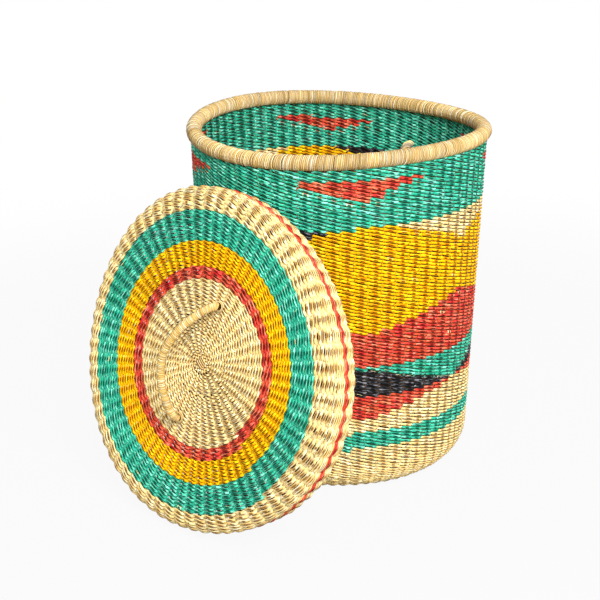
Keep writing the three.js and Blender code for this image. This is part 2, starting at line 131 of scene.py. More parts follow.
# the lid's middle surface, in the lid's own frame: its mouth at 0 and its face up
lidShape = {
    "dishRadius": 182.4,
    "dishDepth": 6,
    "shoulderWidth": 27.3,
    "shoulderRise": 14,
    "skirtDepth": 34,
    "flare": 4.2,
    "lidRadius": 209.7,
    "halfWall": 2.75,
    "outOfRound": (-0.012, 0.02, -0.007),
    "swell": 0.35,  # how far the lid's edge swells over each stake
}
shoulderLength = math.hypot(lidShape["shoulderWidth"], lidShape["shoulderRise"])
shoulderEnd = lidShape["dishRadius"] + shoulderLength
lidEnd = shoulderEnd + lidShape["skirtDepth"]
lidPlace = {"tilt": math.radians(75.8), "place": (27, -243.0164, 197.9981)}
lidMatrix = Matrix.Translation(Vector(lidPlace["place"]) * mm) @ Matrix.Rotation(lidPlace["tilt"], 4, "X")


def lidOutline(radius, angle):
    twoSin, threeCos, threeSin = lidShape["outOfRound"]
    wander = twoSin * np.sin(2 * angle) + threeCos * np.cos(3 * angle) + threeSin * np.sin(3 * angle)
    return radius * (1 + (radius / lidShape["lidRadius"]) ** 2 * wander)


def onLid(way, angle, out):
    shape = lidShape
    flat = np.minimum(way, shape["dishRadius"])
    bend = np.clip((way - shape["dishRadius"]) / shoulderLength, 0, 1) * math.pi / 2
    drop = np.maximum(way - shoulderEnd, 0)
    swell = shape["swell"] * np.cos(fullCount * (angle - peakAngle)) * np.sin(bend)
    depth = out - shape["halfWall"] + swell
    radius = flat + (shape["shoulderWidth"] + depth) * np.sin(bend)
    radius = radius - shape["flare"] * drop / shape["skirtDepth"]
    height = shape["skirtDepth"] + shape["shoulderRise"] * np.cos(bend) - drop + depth * np.cos(bend)
    height = height - shape["dishDepth"] * (1 - (flat / shape["dishRadius"]) ** 2)
    radius = lidOutline(radius, angle)
    return np.stack([radius * np.cos(angle), radius * np.sin(angle), height], axis=-1)


# materials
def addNode(tree, kind, **settings):
    node = tree.nodes.new(kind)
    for key, value in settings.items():
        setattr(node, key, value)
    return node


def feed(tree, node, values):
    for place, value in values.items():
        if isinstance(value, bpy.types.NodeSocket):
            tree.links.new(value, node.inputs[place])
        else:
            node.inputs[place].default_value = value
    return node


def mathNode(tree, operation, first, second=0.0):
    node = addNode(tree, "ShaderNodeMath", operation=operation)
    return feed(tree, node, {0: first, 1: second}).outputs[0]


def mapRange(tree, value, fromRange, toRange=(0, 1), kind="LINEAR"):
    node = addNode(tree, "ShaderNodeMapRange", interpolation_type=kind)
    ends = dict(zip(("From Min", "From Max", "To Min", "To Max"), (*fromRange, *toRange)))
    return feed(tree, node, {"Value": value, **ends}).outputs[0]


def mixColour(tree, amount, first, second):
    node = addNode(tree, "ShaderNodeMix", data_type="RGBA")
    return feed(tree, node, {0: amount, 6: first, 7: second}).outputs[2]


# how the fibres of a strand of grass lie, and where painted shade falls on its ends and flanks: x runs
# along the strand and y once round it
fibreLook = {
    "scale": 1.6,
    "detail": 3,
    "roughness": 0.62,
    "slow": 0.8,
    "shift": 61.7,  # sets each strand's pattern apart from the next one's
    "contrast": (0.34, 0.66),
    "flankFade": 0.4,  # where the painted shade of a flank begins to fade, as a share of its reach
    "tuckFrom": 0.42,  # where painted shade begins on the ends that go behind the next stake
    "edgeFrom": 0.5,  # where painted shade begins on the flanks that lie against the next row
}


def makeFibreGroup(look):
    tree = bpy.data.node_groups.new("grassFibre", "ShaderNodeTree")
    for name in ("Strand", "Around", "Along", "Flank Reach"):
        tree.interface.new_socket(name=name, in_out="INPUT", socket_type="NodeSocketFloat")
    tree.interface.new_socket(name="Vector", in_out="INPUT", socket_type="NodeSocketVector")
    for name in ("Streak", "Blotch", "Tuck", "Edge", "Off Middle"):
        tree.interface.new_socket(name=name, in_out="OUTPUT", socket_type="NodeSocketFloat")
    start = addNode(tree, "NodeGroupInput")
    end = addNode(tree, "NodeGroupOutput")
    split = feed(tree, addNode(tree, "ShaderNodeSeparateXYZ"), {0: start.outputs["Vector"]})
    along, around = split.outputs[0], split.outputs[1]
    shift = mathNode(tree, "MULTIPLY", start.outputs["Strand"], look["shift"])
    place = feed(tree, addNode(tree, "ShaderNodeCombineXYZ"), {
        0: mathNode(tree, "MULTIPLY", along, start.outputs["Along"]),
        1: mathNode(tree, "MULTIPLY", around, start.outputs["Around"]),
        2: shift,
    })
    streak = feed(tree, addNode(tree, "ShaderNodeTexNoise"), {
        "Vector": place.outputs[0],
        "Scale": look["scale"],
        "Detail": look["detail"],
        "Roughness": look["roughness"],
    })
    slow = feed(tree, addNode(tree, "ShaderNodeCombineXYZ"), {
        0: mathNode(tree, "MULTIPLY", along, look["slow"]),
        1: shift,
    })
    blotch = feed(tree, addNode(tree, "ShaderNodeTexNoise"), {
        "Vector": slow.outputs[0],
        "Scale": 1,
        "Detail": 1,
    })
    offMiddle = mathNode(tree, "ABSOLUTE", mathNode(tree, "SUBTRACT", along, 0.5))
    turn = mathNode(tree, "MULTIPLY", around, fullTurn)
    flank = mathNode(tree, "ABSOLUTE", mathNode(tree, "COSINE", turn))
    flank = mapRange(tree, flank, (look["edgeFrom"], 1), kind="SMOOTHSTEP")
    reach = start.outputs["Flank Reach"]
    fadeFrom = mathNode(tree, "MULTIPLY", reach, look["flankFade"])
    faded = mapRange(tree, offMiddle, (fadeFrom, reach), (1, 0))
    feed(tree, end, {
        "Streak": mapRange(tree, streak.outputs["Fac"], look["contrast"]),
        "Blotch": blotch.outputs["Fac"],
        "Tuck": mapRange(tree, offMiddle, (look["tuckFrom"], 0.5), kind="SMOOTHSTEP"),
        "Edge": mathNode(tree, "MULTIPLY", flank, faded),
        "Off Middle": offMiddle,
    })
    return tree


fibreGroup = makeFibreGroup(fibreLook)


# from a written sRGB colour to a linear one
def linear(colour):
    parts = [int(colour[k : k + 2], 16) / 255 for k in (1, 3, 5)]
    return tuple(p / 12.92 if p <= 0.04045 else ((p + 0.055) / 1.055) ** 2.4 for p in parts) + (1,)


# the straw itself, its dark streaks and its bright streaks (partly fibres, partly painted highlight), the
# painted shade on its tucked ends and flanks, and how much its strands vary
lookKeys = ("body", "bright", "dark", "hidden", "vary")
lookValues = {
    "natural": ("#fdeaac", "#fff8d0", "#e8c06e", "#7c4e18", 0.14),
    "teal": ("#3fceaa", "#98f2d8", "#1b9a78", "#023022", 0.24),
    "red": ("#ee5840", "#ff9c78", "#c63424", "#480404", 0.2),
    "yellow": ("#ffca00", "#ffe820", "#f4a600", "#7c3600", 0.12),
    "black": ("#292a2e", "#8c8d93", "#101113", "#040405", 0.3),
    "wrap": ("#fbe8ae", "#fffade", "#e6c070", "#64390a", 0.2),  # round the rim, the loop and the lashings
    "grip": ("#f2d890", "#fff4cc", "#d8ac58", "#64390a", 0.2),  # round the handle
    # stake: not the stakes' own pale grass but a dark brown of painted shade, for the shade in the gaps
    # between strands and between wound turns
    "stake": ("#4a2f12", "#6b4a22", "#2a190a", "#2a190a", 0.2),
}
strawLooks = {name: dict(zip(lookKeys, values)) for name, values in lookValues.items()}
strawFinish = {
    "around": 2.6,  # how fine the fibres are round a strand
    "along": 1.2,
    "tuck": 0.3,  # how much painted shade the tucked ends get
    "edge": 0.95,  # and the flanks in the gaps, also painted shade
    "hue": 1 / 24,  # how far the hue wanders where the tone varies fully
    "shine": (0.5, 1),  # the streaks that turn bright, partly bright fibres and partly painted highlight
    "blotch": (0.3, 0.7),
    "rough": (0.7, 0.5),
    "specular": 0.08,
    "bump": 0.5,
    "bumpHeight": 0.0006,
    "fleckReach": {"natural": 0.15, "red": 0.1},  # half a fleck's length, as a share of a stitch
    "fleckEdge": 0.02,
}
flecks = {"none": 0, "natural": 1, "red": 2}
plainHue = 0.5  # at which a hue node changes nothing


def strawMaterial(name, look, finish):
    material = bpy.data.materials.new(name)
    material.use_nodes = True
    tree = material.node_tree
    shader = tree.nodes["Principled BSDF"]
    uv = addNode(tree, "ShaderNodeUVMap", uv_map="strandUV")
    strand = addNode(tree, "ShaderNodeAttribute", attribute_name="strand").outputs["Fac"]
    fleck = addNode(tree, "ShaderNodeAttribute", attribute_name="fleck").outputs["Fac"]
    gap = addNode(tree, "ShaderNodeAttribute", attribute_name="gap").outputs["Fac"]
    fibre = feed(tree, addNode(tree, "ShaderNodeGroup", node_tree=fibreGroup), {
        "Vector": uv.outputs[0],
        "Strand": strand,
        "Around": finish["around"],
        "Along": finish["along"],
        "Flank Reach": gap,
    }).outputs
    body = mixColour(tree, fibre["Streak"], linear(look["dark"]), linear(look["body"]))
    # painted highlight, partly bright fibres: the brightest streaks go towards the highlight colour
    shine = mapRange(tree, fibre["Streak"], finish["shine"], kind="SMOOTHSTEP")
    body = mixColour(tree, shine, body, linear(look["bright"]))
    # a short fleck of undyed or red grass, where a strand of another colour shows for one stitch
    for colour, reach in finish["fleckReach"].items():
        flecked = mathNode(tree, "GREATER_THAN", fleck, flecks[colour] - 0.5)
        shown = mathNode(tree, "LESS_THAN", fibre["Off Middle"], reach)
        onTop = mathNode(tree, "LESS_THAN", fibre["Edge"], finish["fleckEdge"])
        shown = mathNode(tree, "MULTIPLY", shown, onTop)
        amount = mathNode(tree, "MULTIPLY", flecked, shown)
        body = mixColour(tree, amount, body, linear(strawLooks[colour]["body"]))
    hues = [plainHue + sign * look["vary"] * finish["hue"] for sign in (-1, 1)]
    tone = feed(tree, addNode(tree, "ShaderNodeHueSaturation"), {
        "Color": body,
        "Value": mapRange(tree, strand, (0, 1), (1 - look["vary"], 1 + look["vary"])),
        "Hue": mapRange(tree, fibre["Blotch"], finish["blotch"], hues),
    })
    # painted shade: the ends tucked behind a stake and the flanks in the gaps between rows go towards the
    # shade colour
    tuckShadeAmount = mathNode(tree, "MULTIPLY", fibre["Tuck"], finish["tuck"])
    flankShadeAmount = mathNode(tree, "MULTIPLY", fibre["Edge"], finish["edge"])
    hidden = mathNode(tree, "MAXIMUM", tuckShadeAmount, flankShadeAmount)
    bump = feed(tree, addNode(tree, "ShaderNodeBump"), {
        "Strength": finish["bump"],
        "Distance": finish["bumpHeight"],
        "Height": fibre["Streak"],
    })
    feed(tree, shader, {
        "Base Color": mixColour(tree, hidden, tone.outputs[0], linear(look["hidden"])),
        "Roughness": mapRange(tree, fibre["Streak"], (0, 1), finish["rough"]),
        "Specular IOR Level": finish["specular"],
        "Normal": bump.outputs[0],
    })
    return material


# the wound straws get less painted shade on their tucked ends and flanks, the handle's grip least
wrapFinish = dict(strawFinish, around=1.8, tuck=0.2, edge=0.74)
gripFinish = dict(wrapFinish, edge=0.36)
finishes = {"wrap": wrapFinish, "grip": gripFinish}
materials = {
    name: strawMaterial(name + "Straw", look, finishes.get(name, strawFinish))
    for name, look in strawLooks.items()
}
print("materials are made")


# meshes
def tubeSpan(bm, places, sides):
    loops = []
    for k, place in enumerate(places):
        atEnd = k in (0, len(places) - 1)
        made = bmesh.ops.create_circle(bm, cap_ends=atEnd, segments=sides, radius=1, matrix=place)
        loops.append(made["verts"])
    for first, second in zip(loops, loops[1:]):
        edges = {edge for vert in first for edge in vert.link_edges if edge.other_vert(vert) in first}
        edges |= {edge for vert in second for edge in vert.link_edges if edge.other_vert(vert) in second}
        bmesh.ops.bridge_loops(bm, edges=list(edges))
    return loops


# u runs along the tube and v once round it
def setStrandUv(bm, loops, sides):
    layer = bm.loops.layers.uv["strandUV"]
    number = {}
    for ring, loop in enumerate(loops):
        for side, vert in enumerate(loop):
            number[vert] = (ring / (len(loops) - 1), side)
    for face in bm.faces:
        if any(corner.vert not in number for corner in face.loops):
            continue
        spots = [number[corner.vert] for corner in face.loops]
        crosses = max(spot[1] for spot in spots) - min(spot[1] for spot in spots) > sides / 2
        for corner, (along, side) in zip(face.loops, spots):
            lap = 1 if crosses and side < sides / 2 else 0
            corner[layer].uv = (along, side / sides + lap)


def startMesh():
    bm = bmesh.new()
    bm.loops.layers.uv.new("strandUV")
    return bm


def endMesh(bm, name):
    bmesh.ops.recalc_face_normals(bm, faces=bm.faces)
    mesh = bpy.data.meshes.new(name)
    bm.to_mesh(mesh)
    bm.free()
    return mesh


# one stitch of twining: the strand in front of a stake and the one behind it
# along x a stake spacing is 1; y is outwards and z over the weave, in millimetres
def makeStitch(name, stitch):
    bm = startMesh()
    for front, (rings, sides) in ((1, stitch["frontMesh"]), (-1, stitch["backMesh"])):
        places = []
        for share in np.linspace(-0.5, 0.5, rings):
            x = share * stitch["reach"]
            full = max(0, math.cos(math.pi * share)) ** stitch["blunt"]
            high = stitch["endHigh"] + (stitch["high"] - stitch["endHigh"]) * full
            thick = stitch["endThick"] + (stitch["thick"] - stitch["endThick"]) * full
            out = front * stitch["out"] * math.cos(math.pi * x)
            up = -front * stitch["up"] * math.sin(math.pi * x)
            flat = Matrix.Diagonal((1, thick, high, 1))
            places.append(Matrix.Translation((x, out, up)) @ flat @ Matrix.Rotation(math.pi / 2, 4, "Y"))
        setStrandUv(bm, tubeSpan(bm, places, sides), sides)
    return endMesh(bm, name)


wallStitch = {
    "reach": 1.3,  # how long each strand is, in stake spacings
    "out": 1.7,  # how far its middle stands off the middle surface
    "up": 1.85,  # how far it climbs over a stake
    "high": 1.9,  # half its height
    "thick": 1.25,  # half its thickness
    "endHigh": 1.15,
    "endThick": 0.75,
    "blunt": 0.62,  # the lower this is, the fuller its ends
    "frontMesh": (6, 6),  # rings and sides
    "backMesh": (4, 5),
}
lidStitch = dict(wallStitch, reach=1.25, out=1.6, up=-1.2, high=1.8, endHigh=1.15)
stitches = {
    "wall": wallStitch,
    "lid": lidStitch,
    "stripe": dict(lidStitch, high=2.4, thick=1.6, out=2.0, up=-0.7),
    "border": dict(lidStitch, high=2.0, endHigh=1.3, thick=1.3, frontMesh=(7, 7)),
}
patterns = {name: makeStitch(name + "Stitch", stitch) for name, stitch in stitches.items()}


# doubles a pattern until there are enough copies of it
def copies(pattern, count):
    bm = bmesh.new()
    bm.from_mesh(pattern)
    sizes = (len(bm.verts), len(bm.edges), len(bm.faces))
    done = 1
    while done < count:
        more = min(done, count - done)
        geometry = []
        for part, size in zip((bm.verts, bm.edges, bm.faces), sizes):
            part.ensure_lookup_table()
            geometry += part[: more * size]
        bmesh.ops.duplicate(bm, geom=geometry)
        done += more
    return bm


# copies a pattern to every place and bends each copy onto its surface
def layPattern(pattern, count, shape):
    bm = copies(pattern, count)
    mesh = bpy.data.meshes.new(pattern.name + "Laid")
    bm.to_mesh(mesh)
    bm.free()
    points = np.empty(len(mesh.vertices) * 3)
    mesh.vertices.foreach_get("co", points)
    points = points.reshape(-1, 3)
    block = np.arange(len(points)) // len(pattern.vertices)
    mesh.vertices.foreach_set("co", (shape(points, block) * mm).ravel())
    return mesh, block


# strand: a strand's tone, fleck: which fleck it has, gap: how far from its middle its flanks keep painted
# shade
def addValues(mesh, strand, fleck, gap):
    for name, values in (("strand", strand), ("fleck", fleck), ("gap", gap)):
        layer = mesh.attributes.new(name, "FLOAT", "POINT")
        layer.data.foreach_set("value", np.broadcast_to(values, len(mesh.vertices)).astype(np.float32))


openGap = 2  # painted shade all along the flanks
bodyPlaces = {"basket": Matrix.Identity(4), "lid": lidMatrix}


def finishPiece(mesh, name, nodes, body, material):
    piece = bpy.data.objects.new(name, mesh)
    bpy.context.collection.objects.link(piece)
    mesh.materials.clear()
    mesh.materials.append(material)
    mesh.polygons.foreach_set("use_smooth", [True] * len(mesh.polygons))
    mesh.transform(bodyPlaces[body])
    mesh.update()
    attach(piece, body)
    if nodes:
        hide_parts(*nodes)


weaveLook = {
    "jogAngle": math.radians(-43),  # where each row of the basket ends and the next begins
    "strandStitches": 17,  # a grass strand lasts about so many stakes
    "strandSeed": 5,
    "rowPitch": 4.47,
    "outJitter": 0.14,
    "upJitter": 0.13,
    "sideJitter": 0.04,  # in stake spacings
    "swell": 0.06,  # how much the heights of the strands vary
    "strandShare": 0.6,  # how much of a stitch's tone it shares with its strand
    "gapSpread": 0.25,
}
basketWeave = {
    "body": "basket",
    "surface": onBasket,
    "stitch": "wall",
    "hand": -1,  # which way round the rows climb
    "gap": 0.2,  # how far beside each stake the flanks between two rows get painted shade
    "dim": 0,  # painted shade: how much the tones of the strands that show outside drop
    "innerDim": 0.5,  # and those of the strands that show on the inside, painted shade for the darker inside
}
lidWeave = {
    "body": "lid",
    "surface": onLid,
    "stitch": "lid",
    "hand": 1,
    "gap": 0.24,
    "dim": 0.05,
    "innerDim": 0.25,
}


def colourOf(node):
    for colour in ("teal", "red", "yellow", "black"):
        if colour in node:
            return colour
    return "natural"


def pieceName(node):
    first, *rest = node.split("_")
    return first + "".join(word.capitalize() for word in rest) + "Straw"


# how far round from the jog an angle is, as a share of a turn
def pastJog(angle):
    return np.mod(angle - weaveLook["jogAngle"], fullTurn) / fullTurn


def layWeave(node, found, weave):
    spot = {key: np.array([stitch[key] for stitch in found]) for key in found[0]}
    count = len(found)
    jitter = dice.normal(0, 1, (count, 3))
    swell = 1 + weaveLook["swell"] * dice.normal(0, 1, count)
    past = pastJog(spot["angle"]) - 0.5

    def shape(points, block):
        across = (points[:, 0] + weaveLook["sideJitter"] * jitter[block, 0]) * spot["spacing"][block]
        climb = weave["hand"] * (past[block] + across / fullTurn) * spot["pitch"][block]
        over = points[:, 2] * swell[block] * spot["pitch"][block] / weaveLook["rowPitch"]
        over = over + weaveLook["upJitter"] * jitter[block, 1]
        out = points[:, 1] + weaveLook["outJitter"] * jitter[block, 2] * np.sign(points[:, 1])
        return weave["surface"](spot["way"][block] + climb + over, spot["angle"][block] + across, out)

    pattern = patterns[weave["stitch"]]
    mesh, block = layPattern(pattern, count, shape)
    number = (spot["row"] * fullCount + spot["stake"]).astype(int)
    weaver = (number // weaveLook["strandStitches"]) * 2 + number % 2
    tones = np.random.default_rng(weaveLook["strandSeed"]).random(int(weaver.max()) + 1)
    shared = weaveLook["strandShare"]
    tone = shared * tones[weaver] + (1 - shared) * dice.random(count)
    outerVerts = math.prod(stitches[weave["stitch"]]["frontMesh"])
    inner = np.arange(len(block)) % len(pattern.vertices) >= outerVerts
    # painted shade: the outside strands drop by dim and those that show on the inside by innerDim
    tone = tone[block] - np.where(inner, weave["innerDim"], weave["dim"])
    gap = weave["gap"] * (1 + weaveLook["gapSpread"] * dice.normal(0, 1, count))
    addValues(mesh, tone, spot["fleck"][block], gap[block])
    colour = colourOf(node)
    finishPiece(mesh, pieceName(node), [node], weave["body"], materials[colour])


def ringStitches(start, end, rows, firstRow):
    pitch = (end - start) / rows
    found = []
    for row in range(rows):
        way = start + pitch * (row + 0.5)
        count = stakesAt(way)
        for stake in range(count):
            found.append({
                "way": way,
                "angle": peakAngle + fullTurn * stake / count,
                "spacing": fullTurn / count,
                "row": firstRow + row,
                "stake": stake,
                "pitch": pitch,
                "fleck": flecks["none"],
            })
    return found


# now and then a fleck shows in the dyed grass, where a new strand was spliced in
spliceLook = {"chance": 0.012, "underTeal": 0.5}


def splice(found, node):
    for stitch in found:
        if colourOf(node) != "natural" and dice.random() < spliceLook["chance"]:
            stitch["fleck"] = flecks["natural"]
    return found


# the heights where the wall's colour fields end, as shares of the weave's height, read at each stitch
# they are the CAD model's, apart from the small red triangles, which are fitted closer to the photograph
fieldShares = {
    "foot": 0.164,
    "tealFoot": 0.208,
    "zigLow": 0.246,
    "blackFoot": 0.327,
    "zigHigh": 0.413,
    "middle": 0.42,
    "redLow": 0.52,
    "redHigh": 0.597,
    "yellowSplit": 0.68,
    "hangTip": 0.761,
    "yellowTop": 0.845,
    "redTip": 0.912,
    "redTop": 0.975,
    "hangWidth": 0.9,  # of a quarter turn, as the next one
    "redWidth": 0.597,
}
redTops = (  # how many degrees each small red triangle stands off its valley, its size, and its drop
    {"turn": 5, "wide": 1, "tall": 1, "drop": 0},
    {"turn": 8, "wide": 0.9, "tall": 0.7, "drop": 5},
    {"turn": 5, "wide": 1, "tall": 1, "drop": 0},
    {"turn": 3.8, "wide": 1, "tall": 1, "drop": 0},
)
# at the back, the fields under the shoulder stand higher than the CAD model's
backLift = {"angle": math.radians(142), "rise": 13}
quarter = fullTurn / 4
valleyAngle = peakAngle + quarter / 2


def tent(angle, middle, width):
    ahead = (angle - middle) % quarter
    away = min(ahead, quarter - ahead)
    return max(0, 1 - 2 * away / width)


def between(low, high, amount):
    return (fieldShares[low] + (fieldShares[high] - fieldShares[low]) * amount) * basketShape["weaveTop"]


def pointNumber(angle, middle):
    return int(((angle - middle + quarter / 2) % fullTurn) // quarter) + 1


# level edges follow a row, stepped edges the height where a stitch lies
def fieldAt(angle, height, level):
    top = {name: share * basketShape["weaveTop"] for name, share in fieldShares.items()}
    peak, valley = tent(angle, peakAngle, quarter), tent(angle, valleyAngle, quarter)
    hanging = tent(angle, peakAngle, fieldShares["hangWidth"] * quarter)
    atPeak, atValley = pointNumber(angle, peakAngle), pointNumber(angle, valleyAngle)
    if level < top["foot"]:
        return "foot_weave"
    if level < top["tealFoot"]:
        return "teal_foot_band"
    if height < between("zigLow", "blackFoot", peak):
        return "natural_band"
    if level < top["blackFoot"]:
        return f"red_foot_point_{atValley}"
    if height < between("blackFoot", "zigHigh", valley):
        return f"black_point_{atValley}"
    if level < top["middle"]:
        return "teal_zigzag_band"
    if level < top["redLow"]:
        return "red_band"
    if height < between("redLow", "redHigh", peak):
        return f"red_high_point_{atPeak}"
    if level < top["yellowSplit"]:
        return "yellow_low_band"
    lift = backLift["rise"] * max(0, math.cos(angle - backLift["angle"])) ** 2
    if level < top["yellowTop"] + lift and height < between("yellowTop", "hangTip", hanging) + lift:
        return "yellow_high_band"
    if level < top["yellowTop"] + lift:
        return ("natural", "black")[(atPeak - 1) % 2] + f"_hanging_point_{atPeak}"
    red = redTops[atValley - 1]
    width = fieldShares["redWidth"] * quarter * red["wide"]
    redPeak = tent(angle + math.radians(red["turn"]), valleyAngle, width) * red["tall"]
    if height + red["drop"] < between("redTop", "redTip", redPeak):
        return "teal_shoulder_band"
    if height + red["drop"] < top["redTop"]:
        return f"red_top_point_{atValley}"
    return "teal_top_band"


# basket weave: where each run of the base starts and ends, its rows, and the number of its first one
bendMiddle = (basketShape["flatRadius"] + bendEnd) / 2
baseRows = {
    "base_weave": (startRadius, basketShape["flatRadius"], 27, 0),
    "corner_low_weave": (basketShape["flatRadius"], bendMiddle, 7, 28),
    "corner_high_weave": (bendMiddle, bendEnd, 8, 35),
}
fields = {node: ringStitches(*run) for node, run in baseRows.items()}
wallLook = {"firstRow": 43, "rows": 88}
wallMap = {}
for row in range(wallLook["rows"]):
    level = basketShape["wallFoot"] + weaveLook["rowPitch"] * (row + 1)
    for stake in range(fullCount):
        angle = peakAngle + fullTurn * stake / fullCount
        height = level - weaveLook["rowPitch"] * pastJog(angle)
        wallMap[row, stake] = fieldAt(angle, height, level)


# single stitches of another colour beside the steps of the pattern
def fleckAt(row, stake):
    node = wallMap[row, stake]
    below, above, twoAbove = (wallMap.get((row + step, stake), "") for step in (-1, 1, 2))
    if node == "yellow_high_band" and "natural_hanging" in twoAbove:
        return flecks["natural"]
    if node == "teal_shoulder_band" and "red_top" in twoAbove and "red_top" not in above:
        return flecks["red"]
    underTeal = "black_point" in node and "teal_zigzag" in above
    overBlack = node == "teal_zigzag_band" and "black_point" in below
    flecked = (underTeal or overBlack) and dice.random() < spliceLook["underTeal"]
    return flecks["natural" if flecked else "none"]


for (row, stake), node in wallMap.items():
    fields.setdefault(node, []).append({
        "way": bendEnd + weaveLook["rowPitch"] * (row + 0.5),
        "angle": peakAngle + fullTurn * stake / fullCount,
        "spacing": fullTurn / fullCount,
        "row": wallLook["firstRow"] + row,
        "stake": stake,
        "pitch": weaveLook["rowPitch"],
        "fleck": fleckAt(row, stake),
    })
for node, found in fields.items():
    layWeave(node, splice(found, node), basketWeave)
print("basket weave is laid")

# lid weave
lidRings = {"centre": 102.1, "red": 116.8, "yellow": 146.8}  # how far out each ring ends
stripeTop, stripeFoot = lidEnd - 21.8, lidEnd - 14.6
edgeFoot = lidEnd - 3.6
borderTop, borderFoot = lidEnd - 4.8, lidEnd - 0.9
lidRows = {  # where each run starts and ends, and its rows
    "lid_centre_weave": (startRadius, lidRings["centre"], 20),
    "lid_red_ring": (lidRings["centre"], lidRings["red"], 3),
    "lid_yellow_ring": (lidRings["red"], lidRings["yellow"], 7),
    "lid_teal_ring": (lidRings["yellow"], lidShape["dishRadius"], 8),
    "lid_shoulder_weave": (lidShape["dishRadius"], shoulderEnd, 7),
    "lid_skirt_weave": (shoulderEnd, stripeTop, 3),
    "lid_red_stripe": (stripeTop, stripeFoot, 2),
    "lid_edge_weave": (stripeFoot, edgeFoot, 3),
    "lid_border": (borderTop, borderFoot, 1),
}
lidStitches = {"lid_red_stripe": "stripe", "lid_border": "border"}
nextRow = 200  # past the basket's rows
for node, (start, end, rows) in lidRows.items():
    found = splice(ringStitches(start, end, rows, nextRow), node)
    layWeave(node, found, dict(lidWeave, stitch=lidStitches.get(node, "lid")))
    nextRow += rows
print("lid weave is laid")


# the way a row of points goes at one of them
def aheadAt(points, k):
    return (points[min(k + 1, len(points) - 1)] - points[max(k - 1, 0)]).normalized()


# a vector across that way, kept as near as it goes to the one before
def acrossAt(ahead, across):
    across = ahead.orthogonal() if across is None else across
    return (across - ahead * across.dot(ahead)).normalized()


# sweeps an oval section along a row of points; its first radius lies along the across vector
def sweep(bm, strand, sides):
    points, across = strand["points"], strand.get("across")
    places = []
    for k, point in enumerate(points):
        ahead = aheadAt(points, k)
        across = acrossAt(ahead, across)
        turned = Matrix((across, ahead.cross(across), ahead)).transposed().to_4x4()
        size = Matrix.Diagonal((*strand["radii"], 1, 1))
        places.append(Matrix.Translation(point) @ turned @ size)
    return tubeSpan(bm, places, sides)


def sweptPiece(strands, sides, name, nodes, body, material):
    bm = startMesh()
    sizes = []
    for strand in strands:
        before = len(bm.verts)
        setStrandUv(bm, sweep(bm, strand, sides), sides)
        sizes.append(len(bm.verts) - before)
    mesh = endMesh(bm, name)
    mesh.transform(Matrix.Scale(mm, 4))
    addValues(mesh, np.repeat(dice.random(len(sizes)), sizes), flecks["none"], openGap)
    finishPiece(mesh, name, nodes, body, materials[material])


# a smooth row of points through a few given ones
def smoothPath(given, count):
    given = [Vector(point) for point in given]
    given = [given[0] * 2 - given[1]] + given + [given[-1] * 2 - given[-2]]
    spans = len(given) - 3
    found = []
    for k in range(count):
        place = k / (count - 1) * spans
        span = min(int(place), spans - 1)
        t = place - span
        a, b, c, d = given[span : span + 4]
        curve = 2 * b + (c - a) * t + (2 * a - 5 * b + 4 * c - d) * t * t + (3 * b - a - 3 * c + d) * t**3
        found.append(curve / 2)
    return found


# stakes: dark rods of painted shade, widened on the basket into backings that fill the gaps between the
# strands, with bare ends under the rim
def stakeShadeRods(surface, ends, bends, body):
    rods = []
    for step, end in zip(stakeLook["steps"], ends):
        ways = np.array([step["start"]] + [way for way in bends if step["start"] < way < end] + [end])
        for stake in range(step["count"]):
            angle = peakAngle + fullTurn * stake / step["count"]
            points = surface(ways, np.full(len(ways), angle), np.zeros(len(ways)))
            rods.append({
                "points": [Vector(point) for point in points],
                "radii": (step[body], stakeLook["thick"]),
                "across": Vector((-math.sin(angle), math.cos(angle), 0)),
            })
    return rods


stepEnds = [step["start"] + stakeLook["overlap"] for step in stakeLook["steps"][1:]]
stakeTop = bendEnd + stakeLook["top"] - basketShape["wallFoot"]
wallEnds = (bendEnd + stakeBends["wallFrom"], stakeTop - stakeBends["wallTo"])
basketBends = [
    *np.linspace(basketShape["flatRadius"], bendEnd, stakeBends["cornerCount"]),
    *np.linspace(*wallEnds, stakeBends["wallCount"]),
]
lidBends = [
    *np.linspace(stakeBends["dishFrom"], lidShape["dishRadius"], stakeBends["dishCount"]),
    *np.linspace(stakeBends["shoulderFrom"], shoulderEnd, stakeBends["shoulderCount"]),
    lidEnd - stakeBends["skirt"],
]
sweptPiece(
    stakeShadeRods(onBasket, [*stepEnds, stakeTop], basketBends, "basket"), stakeLook["sides"],
    "stakeEndsShade", ["stake_tips"], "basket", "stake",
)
sweptPiece(
    stakeShadeRods(onLid, [*stepEnds, lidEnd - stakeLook["mouthGap"]], lidBends, "lid"), stakeLook["sides"],
    "lidStakes", [], "lid", "stake",
)
print("stakes are in")

# rim: straw wound round the bundle, a turn at a time
rimLook = {
    "turns": 530,
    "radius": 187.8,
    "tube": 9.0,
    "thick": 0.9,
    "wide": 1.25,
    "slant": 6,  # how far each turn goes along the rim
    "open": 14,  # degrees left open under it
    "mesh": (13, 5),
    "bundle": 8.0,
    "bundleMesh": (97, 10),
    "slideJitter": 0.15,
    "fatJitter": 0.02,
}


def makeTurn(name, look):
    bm = startMesh()
    rings, sides = look["mesh"]
    places = []
    for share in np.linspace(-0.5, 0.5, rings):
        around = math.pi / 2 + share * (fullTurn - math.radians(look["open"]))
        out, up = look["tube"] * math.cos(around), look["tube"] * math.sin(around)
        flat = Matrix.Diagonal((look["wide"], look["thick"], 1, 1))
        turned = Matrix.Rotation(around, 4, "X")
        places.append(Matrix.Translation((look["slant"] * share, out, up)) @ turned @ flat)
    setStrandUv(bm, tubeSpan(bm, places, sides), sides)
    return endMesh(bm, name)


def rimPoints(along, out, up):
    angle = along / rimLook["radius"]
    radius = rimLook["radius"] + out
    height = basketShape["rimHeight"] + waveAt(angle, basketShape["rimHeight"]) + up
    return np.stack([radius * np.cos(angle), radius * np.sin(angle), height], axis=-1)


